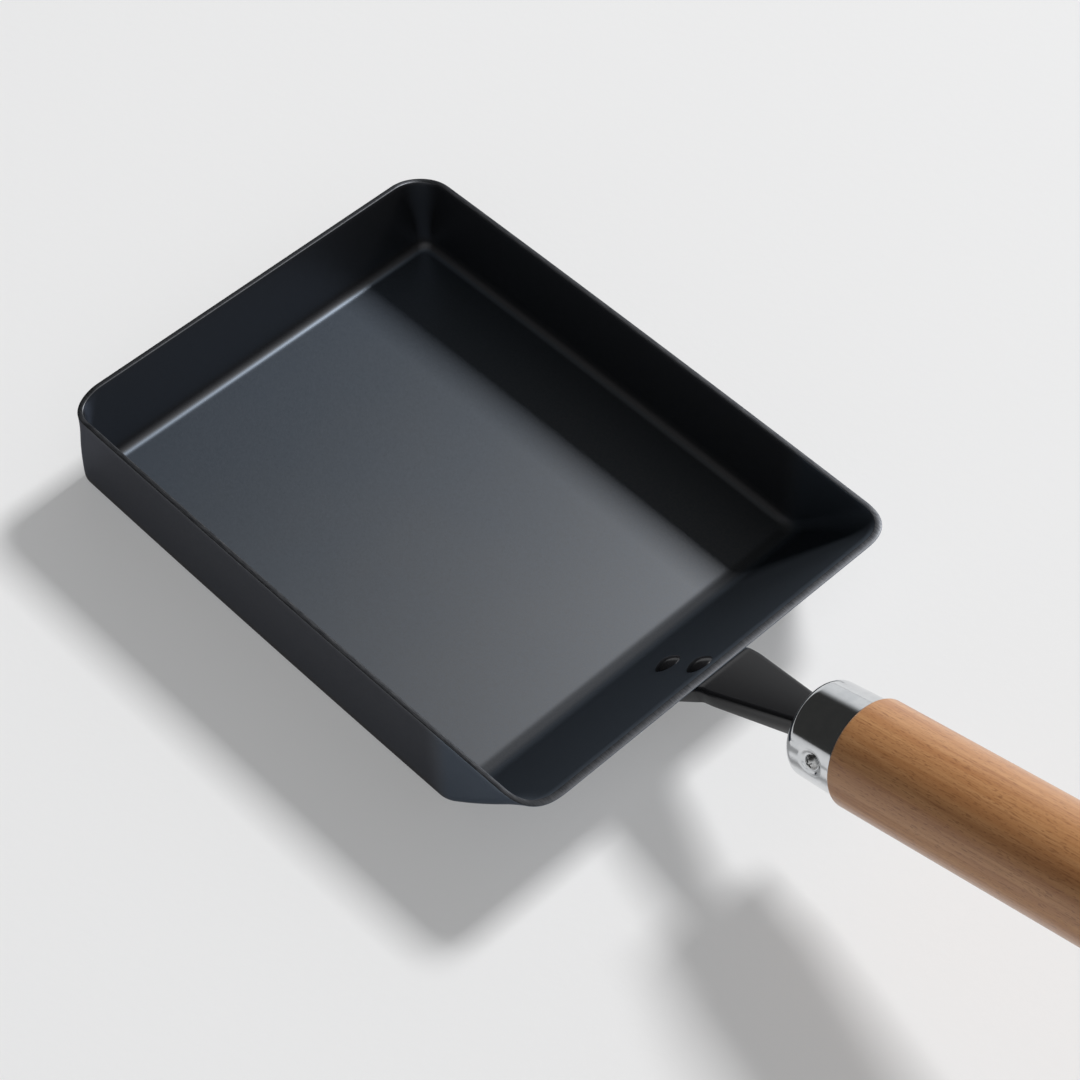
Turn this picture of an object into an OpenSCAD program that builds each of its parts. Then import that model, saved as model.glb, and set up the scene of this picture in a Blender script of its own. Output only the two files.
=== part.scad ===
// Tamagoyaki pan: a pressed steel pan with a sloped front wall, a riveted stem and a round wooden grip.
// Millimetres. The origin is the middle of the pan's foot, on the surface that the pan stands on.
// +X runs along the handle, +Z is up, and the part is symmetric about the plane Y = 0, but for one screw.

/* [Pan body] */
// Length of the pan's foot along the handle, between the sharp corners of floor and walls
foot_l = 152.5; // [110:0.1:200]
// Width of the pan's foot across the handle
foot_w = 130.9; // [100:0.1:170]
// Height of the rim over the surface
pan_h = 31; // [26:0.5:42]
// Thickness of the pan's sheet
sheet_t = 1.6; // [1:0.1:2.4]
// How far each of the three steep walls leans out on its way up
steep_run = 0.1; // [0:0.1:4]
// How far the sloped wall, under the stem, runs out on its way up
slope_run = 32.15; // [26:0.05:40]
// Outer radius between the floor and the three steep walls
floor_r = 4.2; // [3:0.1:7]
// Outer radius between the floor and the sloped wall
slope_r = 9; // [4:0.5:14]
// Radius of the corners of the flat foot, seen from above
foot_corner_r = 2.4; // [1:0.1:5]
// Radius of the walls' four corners just above the floor's fillet
corner_r = 5; // [3:0.2:12]
// How much the corner radius opens up from there to the rim
corner_open = 6.8; // [0:0.1:8]
// How far the corners turn outwards at the rim, beyond the walls' own turn
corner_lip = 1.1; // [0:0.1:1.5]
// How far the rim dips at the two corners away from the handle
corner_dip = 1.2; // [0:0.1:2]
// How far the steep walls turn outwards at the rim
lip_out = 0.2; // [0:0.05:0.8]
// Height of the band under the rim that turns outwards
lip_h = 11; // [3:0.5:16]
// How far the two long walls bow outwards in their middle
side_bow = 0.4; // [0:0.1:1.5]

/* [Stem] */
// Thickness of the stem's sheet
stem_t = 2.3; // [1.8:0.1:3]
// Half width of the stem's plate, which is riveted under the sloped wall
plate_hw = 9.8; // [9:0.1:14]
// How far the plate reaches down the sloped wall from the stem's bend
plate_l = 34; // [31:0.5:38]
// Radius of the plate's two lower corners
plate_corner_r = 5; // [2:0.5:6]
// How far past the rim's edge the stem's bend lies
bend_past = 0.7; // [0.4:0.1:2]
// Radius of the stem's upper bends
bend_r = 8; // [5:0.5:14]
// Angle of the stem over the horizontal
stem_ang = 20.8; // [18:0.2:26]
// Length of the stem from its bend at the rim to the start of the tang
stem_l = 36.3; // [30:0.5:60]
// Half width of the stem at its bend
stem_hw = 9.4; // [8:0.1:12]
// Distance past the bend at which the stem starts to narrow
taper_from = 4; // [1:0.5:10]
// Half width of the stem and the tang inside the ferrule
tang_hw = 4.8; // [4:0.1:6.5]
// Depth of the stem's folded sides at its bend
stem_d = 4.2; // [3.5:0.1:6]
// Depth of the tang's folded sides
tang_d = 5.8; // [5:0.1:7.5]
// Radius of the edges between the stem's top and its folded sides
edge_r = 1.3; // [0.8:0.1:2]
// Length of the tang inside the grip
tang_l = 45; // [30:1:70]

/* [Rivets] */
// Diameter of the rivets' shanks
rivet_d = 4.5; // [3.5:0.1:5.5]
// Diameter of the domed heads inside the pan
head_d = 7.6; // [6.4:0.1:9.5]
// Height of the domed heads inside the pan
head_h = 1.5; // [0.8:0.1:2.4]
// Diameter of the formed heads under the plate
formed_d = 7.2; // [6.2:0.1:9]
// Height of the formed heads under the plate
formed_h = 1.7; // [0.8:0.1:2.4]
// Distance of the upper rivet from the stem's bend, down the slope
rivet_drop = 7.8; // [7:0.2:13]
// Distance between the two rivets, along the slope
rivet_pitch = 15.2; // [12:0.2:17]
// How far both rivets sit beside the middle of the stem
rivet_side = -1.5; // [-2:0.1:2]

/* [Grip] */
// Angle of the grip over the horizontal
grip_ang = 16.2; // [12:0.2:18]
// Distance of the tang's top over the grip's axis
tang_rise = 4.4; // [3:0.1:5]
// Diameter of the wooden grip
grip_d = 29.2; // [27:0.2:34]
// Length of the wooden grip behind the ferrule
grip_l = 118; // [90:1:150]
// Radius of the grip's small front edge
grip_front_r = 1; // [0.4:0.1:1.6]
// Radius of the grip's rounded butt
butt_r = 9; // [4:0.5:12]

/* [Ferrule] */
// Length of the ferrule
ferrule_l = 16; // [14:0.5:24]
// Diameter of the ferrule where it meets the wood
ferrule_d = 27; // [26:0.1:27.4]
// Diameter of the ferrule near its front
ferrule_front_d = 26.2; // [25:0.1:27]
// Thickness of the ferrule's sheet
ferrule_t = 0.8; // [0.5:0.05:1]
// Radius of the ferrule's front edge
ferrule_r = 2.6; // [1.5:0.1:4]
// How far in front of the tang's start the ferrule begins
ferrule_lead = 2.8; // [1:0.1:4]

/* [Ferrule screw] */
// Distance of the screw behind the ferrule's front
screw_x = 9.4; // [7.5:0.1:10.5]
// Turn of the screw from straight up, about the grip's axis
screw_turn = 77; // [72:1:84]
// Diameter of the screw's head
screw_head_d = 4.2; // [3.6:0.1:5]
// Height of the screw's head
screw_head_h = 1.1; // [0.8:0.1:1.6]
// Diameter of the screw's shank
screw_d = 2.4; // [2:0.1:2.8]
// Length of the screw's shank
screw_l = 10.8; // [9.6:0.1:11.4]
// Diameter of the dimple round the screw, at the ferrule's surface
dimple_d = 7.4; // [6.6:0.1:8.4]
// Depth of the dimple
dimple_h = 0.8; // [0.4:0.05:0.9]
// Width of each bar of the cross recess
recess_w = 0.6; // [0.4:0.05:0.8]
// Length of each bar of the cross recess
recess_l = 2.3; // [1.8:0.1:2.8]
// Depth of the cross recess
recess_h = 0.65; // [0.3:0.05:0.8]
// Turn of the cross recess
recess_turn = 35; // [0:5:85]

/* [Hanging bail] */
// Distance of the bail's hinge from the grip's butt
hinge_in = 10; // [9:0.5:16]
// Diameter of the bail's wire
wire_d = 3; // [2.2:0.1:3.6]
// Length of the bail from its hinge to the outside of its loop
bail_l = 33; // [30:0.5:45]
// Distance between the wood and the bail's wire on each side
bail_gap = 0.9; // [0.6:0.1:2]
// Length of the bail's pins inside the bush
pin_l = 7; // [4:0.5:11]
// Thickness of the bush's wall
bush_t = 0.8; // [0.6:0.1:1.2]
// How far the bush stands out of the wood on each side
bush_out = 0.3; // [0.2:0.05:0.5]

/* [Fits] */
// Gap between parts that are seated on each other
seat_gap = 0.02; // [0.01:0.01:0.1]
// Gap round the tang in its slots
slot_gap = 0.25; // [0.1:0.05:0.5]
// Radial clearance of the bail's pins in the bush
pin_clear = 0.06; // [0.04:0.01:0.1]

/* [Hidden] */
$fn = 96;

// The polyhedron of the pan: facets of one floor fillet, one wall, one corner and one side
fillet_steps = 6;
wall_steps = 6;
corner_steps = 8;
side_steps = 6;
// Facets of the stem's bends, of its upper edges and of the plate's lower corners
bend_steps = 8;
edge_steps = 4;
plate_steps = 5;
// Stretches of the stem's plate, of its narrowing neck and of its tang
rest_steps = 4;
neck_steps = 8;
tang_steps = 2;
// The nearest section on each side of a bend is this far from it
bend_rest = 1;
// Facets of the ferrule's front edge, of the grip's front edge and of its butt
ferrule_steps = 8;
front_steps = 5;
butt_steps = 12;
// The folded sides start at the plate's lower end, this deep
least_fold = 0.1;
// A cut runs this far past the face that it goes through
past = 1;
// The flat seat under the screw's head is this much wider than the head
seat_rim = 1.6;

// The sloped wall's angle over the floor, and the rim's outer edge over it
slope_ang = atan2(pan_h, slope_run);
rim_x = foot_l / 2 + slope_run;
function along(ang) = [cos(ang), sin(ang)];
function below(ang) = [sin(ang), -cos(ang)];

// The stem's upper face: its bend at the rim and the start of the tang, as [x, z]
bend_at = [rim_x, pan_h] + bend_past * along(slope_ang) + seat_gap * below(slope_ang);
tang_at = bend_at + stem_l * along(stem_ang);
grip_at = tang_at + tang_rise * below(grip_ang);

// The grip's places, along its axis from the start of the tang
ferrule_x = -ferrule_lead;
shoulder_x = ferrule_x + ferrule_l;
butt_x = shoulder_x + grip_l;
hinge_x = butt_x - hinge_in;
hinge_at = grip_at + hinge_x * along(grip_ang);
bush_d = wire_d + 2 * pin_clear + 2 * bush_t;
bush_l = grip_d + 2 * bush_out;
leg_y = grip_d / 2 + bush_out + bail_gap + wire_d / 2;
// The bends between the bail's pins and its legs start where the bush ends
pin_bend_r = leg_y - bush_l / 2;

// How far the walls have turned outwards at height z: 0 below the lip's band and 1 at the rim
function turn(z) = pow(max(0, (z - pan_h + lip_h) / lip_h), 2);

// Outward offset and height of a skin of the pan that lies `inside` of its outer face.
// t runs from 0 to 1 over the floor's fillet and from 1 to 2 up the wall.
function skin(t, run, lip, fillet_r, inside) =
    let (lean = atan2(pan_h, run), start = -fillet_r * tan(lean / 2), r = fillet_r - inside)
    t <= 1
        ? [start + r * sin(lean * t), fillet_r - r * cos(lean * t)]
        : let (foot = fillet_r - r * cos(lean), z = foot + (pan_h - foot) * (t - 1))
          [z * run / pan_h - inside / sin(lean) + lip * turn(z), z];

// One corner of the ring at t, the k-th one, as an arc of points
function corner(k, t, inside) =
    let (sx = (k == 0 || k == 3) ? 1 : -1, sy = k < 2 ? 1 : -1,
         side = skin(t, steep_run, lip_out, floor_r, inside),
         front = skin(t, slope_run, 0, slope_r, inside),
         x_off = sx > 0 ? front : side,
         up = 1 - skin(t, steep_run, lip_out, floor_r, 0)[0] / skin(0, steep_run, lip_out, floor_r, 0)[0],
         r = foot_corner_r + (corner_r - foot_corner_r) * up + corner_open * pow(max(0, t - 1), 2)
             - inside * min(1, up),
         cx = sx * (foot_l / 2 + x_off[0] - r), cy = sy * (foot_w / 2 + side[0] - r))
    [for (i = [0 : corner_steps])
        let (a = 90 * (k + i / corner_steps), w = pow(cos(a), 2),
             lip = turn(side[1]) * pow(sin(2 * a), 2),
             reach = r + corner_lip * lip,
             dip = sx < 0 ? corner_dip * lip : 0)
        [cx + reach * cos(a), cy + reach * sin(a), side[1] * (1 - w) + x_off[1] * w - dip]];

// Points between the end of one corner and the start of the next, bowed outwards on the long sides
function side_points(k, from, to) =
    [for (i = [1 : side_steps - 1])
        let (s = i / side_steps, bow = k % 2 == 0 ? (k == 0 ? 1 : -1) * side_bow * 4 * s * (1 - s) : 0)
        from + (to - from) * s + [0, bow, 0]];

function ring(t, inside) =
    let (c = [for (k = [0 : 3]) corner(k, t, inside)])
    [for (k = [0 : 3])
        each concat(c[k], side_points(k, c[k][corner_steps], c[(k + 1) % 4][0]))];

// Triangles between closed rings of n points each, one ring after the other
function skin_faces(n, rings) =
    [for (j = [0 : rings - 2]) for (i = [0 : n - 1])
        each [[j * n + i, (j + 1) * n + i, j * n + (i + 1) % n],
              [j * n + (i + 1) % n, (j + 1) * n + i, (j + 1) * n + (i + 1) % n]]];

module pan_shell() {
    stops = concat([for (i = [0 : fillet_steps]) i / fillet_steps],
                   [for (i = [1 : wall_steps]) 1 + i / wall_steps]);
    outer = [for (t = stops) ring(t, 0)];
    inner = [for (t = stops) ring(t, sheet_t)];
    rings = concat(outer, [for (i = [len(stops) - 1 : -1 : 0]) inner[i]]);
    n = len(rings[0]);
    last = (len(rings) - 1) * n;
    middle = last + n;
    underside = [for (i = [0 : n - 1]) [middle, i, (i + 1) % n]];
    floor = [for (i = [0 : n - 1]) [middle + 1, last + (i + 1) % n, last + i]];
    polyhedron(points = concat([for (r = rings) each r], [[0, 0, 0], [0, 0, sheet_t]]),
               faces = concat(underside, skin_faces(n, len(rings)), floor), convexity = 6);
}

// Turns a rivet's or a screw's +Z to the outward normal of the sloped wall, at a distance down the slope
module on_slope(drop) {
    p = bend_at - drop * along(slope_ang) - seat_gap * below(slope_ang);
    translate([p[0], rivet_side, p[1]])
        rotate([0, 180 - slope_ang, 0])
            children();
}

rivet_drops = [rivet_drop + rivet_pitch, rivet_drop];

module rivet_holes(d) {
    for (drop = rivet_drops)
        on_slope(drop)
            translate([0, 0, -sheet_t - past])
                cylinder(d = d, h = sheet_t + stem_t + 2 * past);
}

module pan_body() {
    color("#3b4148")
        difference() {
            pan_shell();
            rivet_holes(rivet_d + 2 * seat_gap);
        }
}

// Flat-based dome of diameter d and height h, standing on the plane z = 0
module dome(d, h) {
    r = (d * d / 4 + h * h) / (2 * h);
    intersection() {
        translate([0, 0, h - r])
            sphere(r = r);
        cylinder(d = d + past, h = h + past);
    }
}

module rivet(drop) {
    grip = sheet_t + stem_t + 2 * seat_gap;
    color("#1a1a1c")
        on_slope(drop) {
            translate([0, 0, -sheet_t - seat_gap])
                mirror([0, 0, 1])
                    dome(head_d, head_h);
            translate([0, 0, -sheet_t - seat_gap])
                cylinder(d = rivet_d, h = grip + seat_gap);
            translate([0, 0, stem_t + 2 * seat_gap])
                dome(formed_d, formed_h);
        }
}

module rivet_lower() {
    rivet(rivet_drops[0]);
}

module rivet_upper() {
    rivet(rivet_drops[1]);
}

// A smooth step from 0 to 1 as v goes from a to b
function ease(v, a, b) = let (s = max(0, min(1, (v - a) / (b - a)))) s * s * (3 - 2 * s);

// How far the stem has narrowed: 0 at its bend and 1 just before the ferrule
function down_stem(u) =
    max(0, min(1, (u - taper_from) / (stem_l - ferrule_lead - past - taper_from)));

// Half width and fold depth of the stem, by the distance u past its bend
function half_width(u) =
    let (end = max(0, plate_corner_r - (u + plate_l)),
         plate = plate_hw - plate_corner_r + sqrt(max(0.01, pow(plate_corner_r, 2) - end * end)),
         neck = stem_hw + (tang_hw - stem_hw) * down_stem(u))
    plate + (neck - plate) * ease(u, -taper_from, taper_from);
fold_done = 2 * plate_corner_r - plate_l;
function fold(u) =
    let (flat = stem_t + least_fold, full = stem_d + (tang_d - stem_d) * down_stem(u))
    flat + (full - flat) * ease(u, -plate_l, fold_done);

// Stations of the stem's upper face as [u, x, z, angle]: plate, bend, stem, second bend, tang
function bend(at, u, from, to) =
    let (reach = bend_r * tan((from - to) / 2))
    [for (i = [0 : bend_steps])
        let (s = i / bend_steps, a = from + (to - from) * s,
             p = at - reach * along(from) + bend_r * (below(from) - below(a)))
        [u + reach * (2 * s - 1), p[0], p[1], a]];
function straight(at, u, ang, from, to, steps) =
    [for (i = [0 : steps])
        let (d = from + (to - from) * i / steps, p = at + d * along(ang)) [u + d, p[0], p[1], ang]];

first_reach = bend_r * tan((slope_ang - stem_ang) / 2);
second_reach = bend_r * tan((stem_ang - grip_ang) / 2);
plate_start = [for (i = [0 : plate_steps])
    let (d = -plate_l + plate_corner_r * (1 - cos(90 * i / plate_steps)),
         p = bend_at + d * along(slope_ang))
    [d, p[0], p[1], slope_ang]];
stations = concat(
    plate_start,
    straight(bend_at, 0, slope_ang, fold_done, -first_reach - bend_rest, rest_steps),
    bend(bend_at, 0, slope_ang, stem_ang),
    straight(bend_at, 0, stem_ang, first_reach + bend_rest, stem_l - second_reach - bend_rest, neck_steps),
    bend(tang_at, stem_l, stem_ang, grip_ang),
    straight(tang_at, stem_l, grip_ang, second_reach + bend_rest, tang_l, tang_steps));

// The folded section at a station, as points [across, down]
function section(u) =
    let (w = half_width(u), f = fold(u), r = edge_r, inner = w - stem_t)
    concat([[-w, f]],
           [for (i = [0 : edge_steps])
               let (a = 90 * i / edge_steps)
               [-w + r - r * cos(a), r - r * sin(a)]],
           [for (i = [edge_steps : -1 : 0])
               let (a = 90 * i / edge_steps)
               [w - r + r * cos(a), r - r * sin(a)]],
           [[w, f], [inner, f], [inner, stem_t], [-inner, stem_t], [-inner, f]]);

// Triangles that close the section: its left leg, its middle and its right leg
function section_faces(e) =
    let (left = 2 * e + 6, right = 2 * e + 5)
    concat([[left, left + 1, 0]],
           [for (i = [0 : e]) [left, i, i + 1]],
           [[left, e + 1, e + 2], [left, e + 2, right]],
           [for (i = [e + 2 : right - 2]) [right, i, i + 1]]);

module stem_shell() {
    rings = [for (s = stations)
        [for (q = section(s[0]))
            let (p = [s[1], s[2]] + q[1] * below(s[3])) [p[0], -q[0], p[1]]]];
    n = len(rings[0]);
    last = (len(rings) - 1) * n;
    start = section_faces(edge_steps);
    end = [for (t = start) [t[2] + last, t[1] + last, t[0] + last]];
    polyhedron(points = [for (r = rings) each r],
               faces = concat(start, skin_faces(n, len(rings)), end), convexity = 6);
}

// The grip's own frame: x along its axis from the start of the tang, z away from it, upwards
module in_grip() {
    translate([grip_at[0], 0, grip_at[1]])
        rotate([0, -grip_ang, 0])
            children();
}

// The screw's own frame: z points outwards, and the origin is on the grip's axis
module at_screw() {
    in_grip()
        translate([ferrule_x + screw_x, 0, 0])
            rotate([screw_turn, 0, 0])
                children();
}

// Radius of the ferrule's outside over the distance x behind its front
function ferrule_radius(x) =
    (ferrule_front_d + (ferrule_d - ferrule_front_d) * (x - ferrule_r) / (ferrule_l - ferrule_r)) / 2;
screw_seat_r = ferrule_radius(screw_x) - dimple_h;

module handle_stem() {
    color("#1c1d1f")
        difference() {
            stem_shell();
            rivet_holes(rivet_d + 2 * seat_gap);
            at_screw()
                cylinder(d = screw_d + 2 * seat_gap, h = ferrule_d);
        }
}

// Half outline of the ferrule, `inside` of its outer face, as [distance behind the front, radius]
function ferrule_outline(inside, back) =
    concat([[inside, 0]],
           [for (i = [0 : ferrule_steps])
               let (a = 90 * i / ferrule_steps, r = ferrule_r - inside)
               [ferrule_r - r * cos(a), ferrule_radius(ferrule_r) - ferrule_r + r * sin(a)]],
           [[back, ferrule_radius(ferrule_l) - inside], [back, 0]]);

// Turns an outline of [distance, radius] points about the grip's axis
module turned(outline) {
    rotate([0, 90, 0])
        rotate_extrude()
            polygon([for (p = outline) [p[1], p[0]]]);
}

module tang_slot(from, length, gap) {
    depth = tang_d + 2 * gap;
    translate([from, -tang_hw - gap, tang_rise + gap - depth])
        cube([length, 2 * (tang_hw + gap), depth]);
}

module ferrule() {
    dish_r = (pow(dimple_d / 2, 2) + pow(dimple_h, 2)) / (2 * dimple_h);
    color("#c9cdd2")
        difference() {
            union() {
                difference() {
                    in_grip()
                        translate([ferrule_x, 0, 0])
                            turned(ferrule_outline(0, ferrule_l));
                    in_grip()
                        translate([ferrule_x, 0, 0])
                            turned(ferrule_outline(ferrule_t, ferrule_l + past));
                }
                at_screw()
                    translate([0, 0, screw_seat_r - ferrule_t])
                        cylinder(d = screw_head_d + seat_rim, h = ferrule_t + dimple_h / 2);
            }
            in_grip()
                tang_slot(ferrule_x - past, ferrule_t + 3 * past, slot_gap);
            at_screw()
                translate([0, 0, screw_seat_r + dish_r])
                    sphere(r = dish_r);
            at_screw()
                translate([0, 0, screw_seat_r])
                    cylinder(d = screw_head_d + seat_rim / 2, h = dimple_h + past);
            at_screw()
                cylinder(d = screw_d + 2 * seat_gap, h = ferrule_d);
        }
}

module ferrule_screw() {
    color("#aeb2b8")
        at_screw()
            difference() {
                union() {
                    translate([0, 0, screw_seat_r + seat_gap - screw_l])
                        cylinder(d = screw_d, h = screw_l + screw_head_h / 4);
                    translate([0, 0, screw_seat_r + seat_gap])
                        dome(screw_head_d, screw_head_h);
                }
                for (bar = [0, 90])
                    rotate([0, 0, bar + recess_turn])
                        translate([0, 0, screw_seat_r + screw_head_h])
                            cube([recess_l, recess_w, 2 * recess_h], center = true);
            }
}

module wood_grip() {
    spigot = [for (p = ferrule_outline(ferrule_t + seat_gap, ferrule_l + past)) [p[0] + ferrule_x, p[1]]];
    r = grip_d / 2;
    body = concat(
        [[shoulder_x + seat_gap, 0]],
        [for (i = [0 : front_steps])
            let (a = 90 * i / front_steps)
            [shoulder_x + seat_gap + grip_front_r * (1 - cos(a)), r - grip_front_r * (1 - sin(a))]],
        [for (i = [0 : butt_steps])
            let (a = 90 * i / butt_steps)
            [butt_x - butt_r * (1 - sin(a)), r - butt_r * (1 - cos(a))]],
        [[butt_x, 0]]);
    color("#c08a55")
        difference() {
            in_grip() {
                turned(body);
                turned(spigot);
            }
            in_grip()
                tang_slot(ferrule_x - past, ferrule_lead + past + tang_l + 2 * slot_gap, slot_gap);
            at_screw()
                cylinder(d = screw_d + 2 * seat_gap, h = ferrule_d);
            at_screw()
                translate([0, 0, screw_seat_r - ferrule_t - seat_gap])
                    cylinder(d = screw_head_d + seat_rim + 2 * seat_gap, h = ferrule_t + 2 * dimple_h);
            in_grip()
                translate([hinge_x, grip_d, 0])
                    rotate([90, 0, 0])
                        cylinder(d = bush_d + 2 * seat_gap, h = 2 * grip_d);
        }
}

module at_hinge() {
    translate([hinge_at[0], 0, hinge_at[1]])
        children();
}

module bail_bush() {
    color("#b9bcc0")
        at_hinge()
            rotate([90, 0, 0])
                difference() {
                    cylinder(d = bush_d, h = bush_l, center = true);
                    cylinder(d = wire_d + 2 * pin_clear, h = bush_l + past, center = true);
                }
}

// One pin, its bend and its leg, on the side of +Y, with the bail hanging straight down
module bail_side() {
    leg_end = bail_l - wire_d / 2 - leg_y;
    pin_end = grip_d / 2 + bush_out - pin_l;
    translate([0, pin_end, 0])
        rotate([-90, 0, 0])
            cylinder(d = wire_d, h = leg_y - pin_bend_r - pin_end);
    translate([0, leg_y - pin_bend_r, -pin_bend_r])
        rotate([0, 90, 0])
            rotate([0, 0, 90])
                rotate_extrude(angle = 90)
                    translate([pin_bend_r, 0])
                        circle(d = wire_d);
    translate([0, leg_y, -leg_end])
        cylinder(d = wire_d, h = leg_end - pin_bend_r);
}

module hang_bail() {
    leg_end = bail_l - wire_d / 2 - leg_y;
    color("#b9bcc0")
        at_hinge() {
            bail_side();
            mirror([0, 1, 0])
                bail_side();
            translate([0, 0, -leg_end])
                rotate([0, 90, 0])
                    rotate([0, 0, -90])
                        rotate_extrude(angle = 180)
                            translate([leg_y, 0])
                                circle(d = wire_d);
        }
}

pan_body();
handle_stem();
rivet_lower();
rivet_upper();
ferrule();
ferrule_screw();
wood_grip();
bail_bush();
hang_bail();
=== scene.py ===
import math
import bpy
import bmesh
from mathutils import Matrix, Vector


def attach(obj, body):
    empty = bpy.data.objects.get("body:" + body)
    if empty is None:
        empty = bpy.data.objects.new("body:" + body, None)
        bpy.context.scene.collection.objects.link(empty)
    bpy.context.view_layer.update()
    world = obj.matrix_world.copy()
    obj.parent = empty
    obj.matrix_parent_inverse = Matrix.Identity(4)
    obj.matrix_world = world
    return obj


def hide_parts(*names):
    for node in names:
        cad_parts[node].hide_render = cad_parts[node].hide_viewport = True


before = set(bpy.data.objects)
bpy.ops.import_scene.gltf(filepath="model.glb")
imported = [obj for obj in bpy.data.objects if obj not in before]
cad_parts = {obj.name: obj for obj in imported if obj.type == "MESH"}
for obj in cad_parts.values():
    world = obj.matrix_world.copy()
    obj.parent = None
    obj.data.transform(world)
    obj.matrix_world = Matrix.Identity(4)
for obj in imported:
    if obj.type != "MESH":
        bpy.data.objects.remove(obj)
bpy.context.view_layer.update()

MM = 0.001

# Pan: the same sizes as in the solids
FOOT_L, FOOT_W, PAN_H, SHEET_T = 152.5, 130.9, 31.0, 1.6
STEEP_RUN, SLOPE_RUN, FLOOR_R, SLOPE_R = 0.1, 32.15, 4.2, 9.0
FOOT_CORNER_R, CORNER_R, CORNER_OPEN, CORNER_LIP, CORNER_DIP = 2.4, 5.0, 6.8, 1.1, 1.2
LIP_OUT, LIP_H, SIDE_BOW = 0.2, 11.0, 0.4
RIM_EDGE_R = 0.28
# Rings that keep the fillet's shading off the flats: up the wall, and as shares of the way to the middle
OVER_FILLET, ON_FLOOR = 1.015, (0.3, 0.008)
# Stem
STEM_T, PLATE_HW, PLATE_L, PLATE_CORNER_R = 2.3, 9.8, 34.0, 5.0
BEND_PAST, BEND_R, STEM_L, STEM_HW = 0.7, 8.0, 36.3, 9.4
TAPER_FROM, TANG_HW, STEM_D, TANG_D = 4.0, 4.8, 4.2, 5.8
EDGE_R, TANG_L, LEAST_FOLD, STEM_BEVEL = 1.3, 45.0, 0.1, 0.3
STEM_ANG = math.radians(20.8)
# The straight stretches have their first section this far from a bend
BY_BEND = 0.5
# Rivets
RIVET_D, HEAD_D, HEAD_H, FORMED_D, FORMED_H = 4.5, 7.6, 1.5, 7.2, 1.7
RIVET_DROP, RIVET_PITCH, RIVET_SIDE = 7.8, 15.2, -1.5
RIVET_DROPS = (RIVET_DROP + RIVET_PITCH, RIVET_DROP)
DOME_EDGE_IN = 0.075
# Grip and ferrule
GRIP_ANG = math.radians(16.2)
TANG_RISE, GRIP_D, GRIP_L, GRIP_FRONT_R, BUTT_R = 4.4, 29.2, 118.0, 1.0, 9.0
FERRULE_L, FERRULE_D, FERRULE_FRONT_D, FERRULE_T = 16.0, 27.0, 26.2, 0.8
FERRULE_R, FERRULE_LEAD, FERRULE_EDGE_R = 2.6, 2.8, 0.3
SPIGOT_CHAMFER = 2.0
# The pocket in the wood under the screw's seat is this much wider and higher than the seat
SEAT_WIDER, SEAT_HIGHER = 0.5, 0.2
# Screw in the side of the ferrule
SCREW_X, SCREW_TURN = 9.4, math.radians(77)
SCREW_HEAD_D, SCREW_HEAD_H, SCREW_D, SCREW_L = 4.2, 1.1, 2.4, 10.8
SCREW_TIP_IN, SCREW_TIP_L, SCREW_BEVEL = 0.3, 0.5, 0.06
DIMPLE_D, DIMPLE_H, DIMPLE_FLAT, DIMPLE_FADE = 7.4, 0.8, 0.1, 0.35
RECESS_W, RECESS_L, RECESS_H, RECESS_TURN = 0.6, 2.3, 0.65, math.radians(35)
# Hanging bail
HINGE_IN, WIRE_D, BAIL_L, BAIL_GAP = 10.0, 3.0, 33.0, 0.9
PIN_L, BUSH_T, BUSH_OUT, BUSH_BEVEL, BOW_GAP = 7.0, 0.8, 0.3, 0.2, 0.001
# Fits
SEAT_GAP, SLOT_GAP, PIN_CLEAR = 0.02, 0.25, 0.06
# How far a cutter reaches past what it cuts
PAST = 1.0
# A turned bar starts this thin on its axis; a square shoulder and the butt's end are this long
AXIS_R, SHOULDER_STEP, BUTT_STEP = 0.02, 0.01, 0.0005


def along(angle):
    """Unit vector at that angle over the horizontal, in the plane of the handle."""
    return Vector((math.cos(angle), 0, math.sin(angle)))


def below(angle):
    return Vector((math.sin(angle), 0, -math.cos(angle)))


def clamped(value):
    return max(0.0, min(1.0, value))


def ease(value, start, end):
    s = clamped((value - start) / (end - start))
    return s * s * (3 - 2 * s)


SLOPE_ANG = math.atan2(PAN_H, SLOPE_RUN)
BEND_AT = (Vector((FOOT_L / 2 + SLOPE_RUN, 0, PAN_H)) + BEND_PAST * along(SLOPE_ANG)
           + SEAT_GAP * below(SLOPE_ANG))
TANG_AT = BEND_AT + STEM_L * along(STEM_ANG)
GRIP_AT = TANG_AT + TANG_RISE * below(GRIP_ANG)
# The stem's taper ends 1 mm before the ferrule
TAPER_TO = STEM_L - FERRULE_LEAD - 1
SHOULDER_X = FERRULE_L - FERRULE_LEAD
BUTT_X = SHOULDER_X + GRIP_L
HINGE_AT = GRIP_AT + (BUTT_X - HINGE_IN) * along(GRIP_ANG)
BUSH_D = WIRE_D + 2 * PIN_CLEAR + 2 * BUSH_T
BUSH_L = GRIP_D + 2 * BUSH_OUT
LEG_Y = GRIP_D / 2 + BUSH_OUT + BAIL_GAP + WIRE_D / 2


def ferrule_radius(x):
    share = (x - FERRULE_R) / (FERRULE_L - FERRULE_R)
    return (FERRULE_FRONT_D + (FERRULE_D - FERRULE_FRONT_D) * share) / 2


SEAT_R = ferrule_radius(SCREW_X) - DIMPLE_H
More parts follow.
